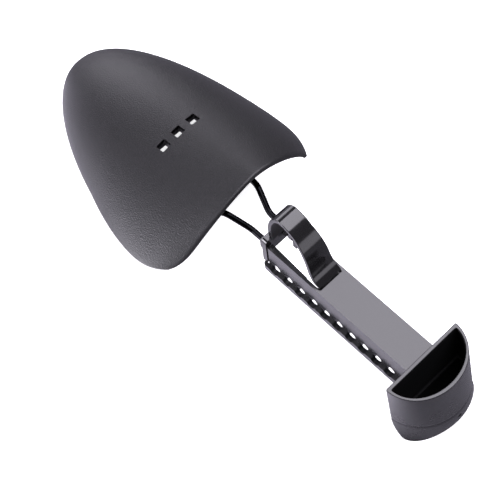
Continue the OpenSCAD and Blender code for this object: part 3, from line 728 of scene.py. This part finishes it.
line = np.concatenate([curve_points(c, 45)[(1 if k else 0):] for k, c in enumerate(LOOP_CURVES)])
flow = np.gradient(line, axis=0)
flow /= np.linalg.norm(flow, axis=1, keepdims=True)
inward = np.stack([-flow[:, 1], flow[:, 0]], -1)
thick = np.clip(line[:, 1] - (FOOT_Z - FOOT_DROP), FOOT_DROP, LOOP_T)
wide = np.interp(line[:, 0], [FLARE_FROM, FLARE_TO], [FOOT_W, LOOP_W])
print("loop line of", len(line), "points")

# %% Finger loop surface
q = np.linspace(0, np.pi / 2, 5)
side_sign = np.concatenate([np.ones(5), -np.ones(10), np.ones(5)])
inner_side = np.concatenate([np.zeros(10), np.ones(10)])
out_y = np.concatenate([np.cos(q), -np.sin(q), -np.cos(q), np.sin(q)])
out_d = np.concatenate([-np.sin(q), -np.cos(q), np.sin(q), np.cos(q)])
y = side_sign * (wide[:, None] / 2 - LOOP_CORNER) + LOOP_CORNER * out_y
deep = np.where(inner_side > 0, thick[:, None] - LOOP_CORNER, LOOP_CORNER) + LOOP_CORNER * out_d
xz = line[:, None] + deep[..., None] * inward[:, None]
points = np.stack([xz[..., 0], y, xz[..., 1]], -1)
n, m = points.shape[:2]
faces = grid_faces(n, m, wrap_cols=True).tolist()
faces += [list(range(m)), list(range((n - 1) * m, n * m))]
loop = mesh_from("finger_loop", to_frame(points), faces)
clean(loop)
smooth_by_angle(loop, 40)
weigh(loop)
report(loop)

# %% [markdown]
# ## Wire
# One steel wire makes both arms. Its middle lies in the block, and each end rises, spreads and
# turns outwards into an eye. The path is straight runs joined by soft bends.

# %% Wire path
CROSS_X, WIRE_Z, ARM_Y, WIRE_BEND = 83.9, 37.0, 5.4, 2.4
SIDE_PATH = np.array([(PIVOT_X, 20.0, PIVOT_Z), (PIVOT_X, 14.0, PIVOT_Z), (104.4, 9.4, 42.4),
                      (93.7, ARM_Y, WIRE_Z), (CROSS_X, ARM_Y, WIRE_Z)])


def rounded_path(corners, radius, steps=12):
    """Straight runs joined by parabolic bends that start a fixed distance from each corner."""
    pieces = [corners[:1]]
    s = np.linspace(0, 1, steps)[:, None]
    for before, here, after in zip(corners[:-2], corners[1:-1], corners[2:]):
        back, on = before - here, after - here
        start = here + back / np.linalg.norm(back) * radius
        end = here + on / np.linalg.norm(on) * radius
        pieces.append((1 - s) ** 2 * start + 2 * s * (1 - s) * here + s**2 * end)
    pieces.append(corners[-1:])
    return np.concatenate(pieces)


path = rounded_path(np.concatenate([SIDE_PATH, SIDE_PATH[::-1] * [1, -1, 1]]), WIRE_BEND)
wire = tube("wire", path, WIRE_R)
smooth_by_angle(wire, 50)
report(wire)

# %% [markdown]
# ## Finishes
# Shader maths is written as Python expressions. One small class wraps a socket, so that adding or
# multiplying two of them adds a Math node, and one method makes any other node.

# %% Shader values


class Value:
    """An output socket, with operators that make Math nodes."""

    def __init__(self, board, socket):
        self.board, self.socket = board, socket

    def _math(self, operation, a, b):
        return self.board.node("ShaderNodeMath", {"operation": operation}, {0: a, 1: b})

    def __add__(self, other):
        return self._math("ADD", self, other)

    __radd__ = __add__

    def __mul__(self, other):
        return self._math("MULTIPLY", self, other)

    __rmul__ = __mul__


# %% Shader board


class Board:
    """A material's node tree, with one method that adds a node and links or sets its inputs."""

    def __init__(self, name):
        self.material = bpy.data.materials.new(name)
        self.material.use_nodes = True
        self.tree = self.material.node_tree
        self.tree.nodes.clear()
        self.output = self.tree.nodes.new("ShaderNodeOutputMaterial")

    def node(self, kind, settings=None, inputs=None, out=0):
        made = self.tree.nodes.new(kind)
        for key, value in (settings or {}).items():
            setattr(made, key, value)
        for key, value in (inputs or {}).items():
            if isinstance(value, Value):
                self.tree.links.new(value.socket, made.inputs[key])
            else:
                made.inputs[key].default_value = value
        return Value(self, made.outputs[out])

    def finish(self, shader):
        self.tree.links.new(shader.socket, self.output.inputs["Surface"])
        return self.material


def noise(board, where, scale, detail=3.0, rough=0.5):
    """Soft noise in object space."""
    return board.node("ShaderNodeTexNoise", {}, {
        "Vector": where, "Scale": scale, "Detail": detail, "Roughness": rough})


def mix_colour(board, share, a, b):
    """Blend of two colours."""
    return board.node("ShaderNodeMix", {"data_type": "RGBA"}, {"Factor": share, 6: a, 7: b}, out=2)


def shade_of(level, tint=(1.0, 0.98, 1.06)):
    """Grey of a level with a faint cool tint."""
    return (level * tint[0], level * tint[1], level * tint[2], 1.0)


# %% [markdown]
# The bar, cup and slider are a smooth black moulding with a satin gloss. Polished moulds leave a
# faint waviness and fine rubbed marks, so both the roughness and a very shallow bump vary.

# %% Smooth black plastic


def smooth_surface(board, level, rough_low, rough_high, wave_depth, gloss_share=0.5):
    """Shader of a smooth moulded face."""
    where = board.node("ShaderNodeTexCoord", out=3)
    cloud = noise(board, where, 40.0, 4.0)
    fine = noise(board, where, 900.0, 2.0)
    wave = noise(board, where, 110.0, 2.0)
    colour = mix_colour(board, cloud, shade_of(level * 0.8), shade_of(level * 1.25))
    rough = rough_low + (rough_high - rough_low) * cloud + 0.03 * fine
    normal = board.node("ShaderNodeBump", {}, {
        "Strength": 0.12, "Distance": wave_depth, "Height": wave * 0.7 + fine * 0.3})
    return board.node("ShaderNodeBsdfPrincipled", {}, {
        "Base Color": colour, "Roughness": rough, "Normal": normal, "IOR": 1.5,
        "Specular IOR Level": gloss_share})


def smooth_plastic(name, *facts):
    """Material of one smooth moulded face all over."""
    board = Board(name)
    return board.finish(smooth_surface(board, *facts))


satin = smooth_plastic("satin_black", 0.012, 0.16, 0.26, 0.00005)
gloss = smooth_plastic("gloss_black", 0.008, 0.07, 0.14, 0.00003)

# %% [markdown]
# Inside the cup and under the loop the mould is rough and was never polished. Inside the cup the
# colour is also darker than outside, which is painted shade in the deep hollow, and its gloss is
# weaker. A face is on the inside when its normal points towards the hollow's middle. The product of
# the normal and the way from the middle to the face tells the two apart, with no second mesh.

# %% Plastic with a dull inside, painted darker as shade inside the cup
# The middles of the two hollows, in metres
CUP_MIDDLE = (0.0045, -0.001, 0.030)
LOOP_MIDDLE = (0.0825, 0.0, 0.044)
# Level, lowest and highest roughness, depth of the waves in metres, and share of gloss
# The cup's inside level, 0.003 against 0.012 outside, is painted shade in the hollow
DULL_PAINTED_SHADE_CUP, POLISHED_CUP = (0.003, 0.8, 0.95, 0.00005, 0.15), (0.012, 0.2, 0.3, 0.00005)
DULL_LOOP, POLISHED_LOOP = (0.016, 0.5, 0.6, 0.00005), (0.008, 0.07, 0.14, 0.00003)


def two_finishes(name, middle, inside, outside):
    """Material with one finish towards the hollow's middle and another away from it."""
    board = Board(name)
    where = board.node("ShaderNodeTexCoord", out=3)
    facing = board.node("ShaderNodeTexCoord", out=1)
    away = board.node("ShaderNodeVectorMath", {"operation": "SUBTRACT"}, {0: where, 1: middle})
    product = {"operation": "DOT_PRODUCT"}
    outward = board.node("ShaderNodeVectorMath", product, {0: facing, 1: away}, out=1)
    is_outside = board.node("ShaderNodeMath", {"operation": "GREATER_THAN"}, {0: outward, 1: 0.0})
    # For the cup, the inside finish also carries painted shade in its darker colour
    dull, polished = smooth_surface(board, *inside), smooth_surface(board, *outside)
    shader = board.node("ShaderNodeMixShader", {}, {0: is_outside, 1: dull, 2: polished})
    return board.finish(shader)


cup_black = two_finishes("cup_black", CUP_MIDDLE, DULL_PAINTED_SHADE_CUP, POLISHED_CUP)
loop_black = two_finishes("loop_black", LOOP_MIDDLE, DULL_LOOP, POLISHED_LOOP)

# %% [markdown]
# The toe shell has a fine spark-eroded grain that scatters light, so it looks charcoal, with a
# soft sheen on its dome. A cell pattern and a noise make the grain.

# %% Grained plastic


def grained_plastic(name, level):
    """Material of a finely grained moulded face."""
    board = Board(name)
    where = board.node("ShaderNodeTexCoord", out=3)
    cloud = noise(board, where, 30.0, 3.0)
    grain = noise(board, where, 1300.0, 4.0, 0.65)
    cells = board.node("ShaderNodeTexVoronoi", {}, {"Vector": where, "Scale": 1700.0})
    speckle = cloud * 0.3 + grain * 0.7
    colour = mix_colour(board, speckle, shade_of(level * 0.5), shade_of(level * 1.6))
    rough = 0.34 + 0.16 * grain
    normal = board.node("ShaderNodeBump", {}, {
        "Strength": 0.6, "Distance": 0.0002, "Height": grain * 0.6 + cells * 0.6})
    shader = board.node("ShaderNodeBsdfPrincipled", {}, {
        "Base Color": colour, "Roughness": rough, "Normal": normal, "IOR": 1.48,
        "Specular IOR Level": 0.4})
    return board.finish(shader)


charcoal = grained_plastic("charcoal_grain", 0.009)

# %% [markdown]
# The wire is drawn steel. Its nearly black colour is painted reflection: it stands in for the dark
# room that the bright steel mirrors, and only its edges mirror the room. A metal's base colour
# tints what it mirrors, so a very dark one is enough.

# %% Dark steel
# Both colours are painted reflection of a dark room; the noise between them varies the tone at
# random
PAINTED_DARK_LOW, PAINTED_DARK_HIGH = (0.001, 0.001, 0.0012, 1), (0.008, 0.008, 0.009, 1)


def dark_steel(name):
    """Material of drawn steel, painted nearly black as the reflection of a dark room."""
    board = Board(name)
    where = board.node("ShaderNodeTexCoord", out=3)
    blotch = noise(board, where, 160.0, 4.0)
    fine = noise(board, where, 1300.0, 2.0)
    colour = mix_colour(board, blotch, PAINTED_DARK_LOW, PAINTED_DARK_HIGH)
    rough = 0.05 + 0.06 * blotch
    normal = board.node("ShaderNodeBump", {}, {
        "Strength": 0.1, "Distance": 0.00003, "Height": fine})
    shader = board.node("ShaderNodeBsdfPrincipled", {}, {
        "Base Color": colour, "Roughness": rough, "Normal": normal, "Metallic": 1.0})
    return board.finish(shader)


steel = dark_steel("dark_steel")

# %% Dress the pieces


def finish_with(piece, material, body=None, node=None):
    """Gives a piece its one material and its body, and hides the solid that it stands for."""
    piece.data.materials.clear()
    piece.data.materials.append(material)
    if body:
        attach(piece, body)
    if node:
        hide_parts(node)


finish_with(toe_shell, charcoal, "toe", "toe_shell")
finish_with(eyes, charcoal, "toe")
finish_with(collars, charcoal, "toe")
finish_with(cup_wall, cup_black, "heel", "heel_bar")
finish_with(bar, satin, "heel")
finish_with(cup_cap, cup_black, "heel", "heel_cap")
finish_with(slide_body, gloss, "slide", "slider")
finish_with(loop, loop_black, "slide")
finish_with(wire, steel, "slide", "wire_yoke")
for node in ("catch_finger", "wire_keeper"):
    finish_with(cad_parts[node], gloss)

# %% [markdown]
# ## Floor and light
# A pale floor stands under the tree. It has a slight glow for the camera alone, which makes it
# white and leaves the tree's light and soft shadow as they are. The black plastic mirrors the
# floor, and in the photograph it mirrors a light table only beside the bar and a dark room round
# it. So the floor that the plastic mirrors is darker away from the bar's near side.

# %% Floor
FLOOR_HALF_M = 2
PAPER_DARK, PAPER_LIGHT = (0.84, 0.84, 0.85, 1), (0.88, 0.88, 0.88, 1)
MIRROR_DARK, MIRROR_LIGHT = (0.16, 0.156, 0.175, 1), (0.82, 0.8, 0.87, 1)


def fade(board, where, axis, dark_at, light_at):
    """Rises smoothly from 0 to 1 along one axis, between two places in metres."""
    apart = board.node("ShaderNodeSeparateXYZ", {}, {0: where}, out=axis)
    return board.node("ShaderNodeMapRange", {"interpolation_type": "SMOOTHSTEP"}, {
        "Value": apart, "From Min": dark_at, "From Max": light_at})


corners = np.array([(-1, -1, 0), (1, -1, 0), (1, 1, 0), (-1, 1, 0)])
floor = mesh_from("floor", FLOOR_HALF_M * corners, [(0, 1, 2, 3)])
board = Board("pale_floor")
where = board.node("ShaderNodeTexCoord", out=3)
paper = noise(board, where, 60.0, 2.0)
tone = mix_colour(board, paper, PAPER_DARK, PAPER_LIGHT)
beside = fade(board, where, 0, -0.02, 0.03) * fade(board, where, 1, -0.01, 0.012)
mirrored_tone = mix_colour(board, beside, MIRROR_DARK, MIRROR_LIGHT)
plain = board.node("ShaderNodeBsdfPrincipled", {}, {"Base Color": tone, "Roughness": 0.7})
mirrored = board.node("ShaderNodeBsdfPrincipled", {}, {
    "Base Color": mirrored_tone, "Roughness": 0.7})
bright = board.node("ShaderNodeBsdfPrincipled", {}, {
    "Base Color": tone, "Roughness": 0.7, "Emission Color": (1, 1, 1, 1),
    "Emission Strength": 0.75})
by_camera = board.node("ShaderNodeLightPath")
by_gloss = board.node("ShaderNodeLightPath", out=3)
unseen = board.node("ShaderNodeMixShader", {}, {0: by_gloss, 1: plain, 2: mirrored})
surface = board.node("ShaderNodeMixShader", {}, {0: by_camera, 1: unseen, 2: bright})
floor.data.materials.append(board.finish(surface))
print("floor ready")

# %% [markdown]
# One large lamp hangs where the plate and the loop's crown mirror it. A low one gives the loop's
# second band, one on the near side brings out the shell's flank, and one beyond the toe its tip.

# %% Lamps and world
AIM_M = Vector((0.09, 0.0, 0.03))
LAMP_TINT, ROOM_TINT, ROOM_LEVEL = (0.99, 0.96, 1.06), (0.97, 0.94, 1.05, 1), 0.16


def lamp(name, direction, distance, width, radiance):
    """Square lamp turned to the tree. Its power is radiance x pi x its area."""
    data = bpy.data.lights.new(name, "AREA")
    data.color = LAMP_TINT
    data.shape, data.size, data.energy = "SQUARE", width, radiance * math.pi * width**2
    piece = bpy.data.objects.new(name, data)
    bpy.context.scene.collection.objects.link(piece)
    way = Vector(direction).normalized()
    piece.location = AIM_M + way * distance
    piece.rotation_euler = way.to_track_quat("Z", "Y").to_euler()
    return piece


lamp("mirror_lamp", (0.02, -0.3, 0.95), 1.1, 1.15, 6.4)
lamp("low_lamp", (-0.95, -0.3, 0.2), 1.3, 0.45, 2.2)
lamp("near_lamp", (0.5, 0.85, 0.2), 1.2, 0.7, 18.0)
lamp("toe_lamp", (0.9, -0.35, 0.2), 1.3, 0.6, 3.6)
world = bpy.data.worlds.new("room")
world.use_nodes = True
background = world.node_tree.nodes["Background"]
background.inputs["Color"].default_value = ROOM_TINT
background.inputs["Strength"].default_value = ROOM_LEVEL
bpy.context.scene.world = world
bpy.context.scene.view_settings.view_transform = "Standard"
print("lamps and world ready")
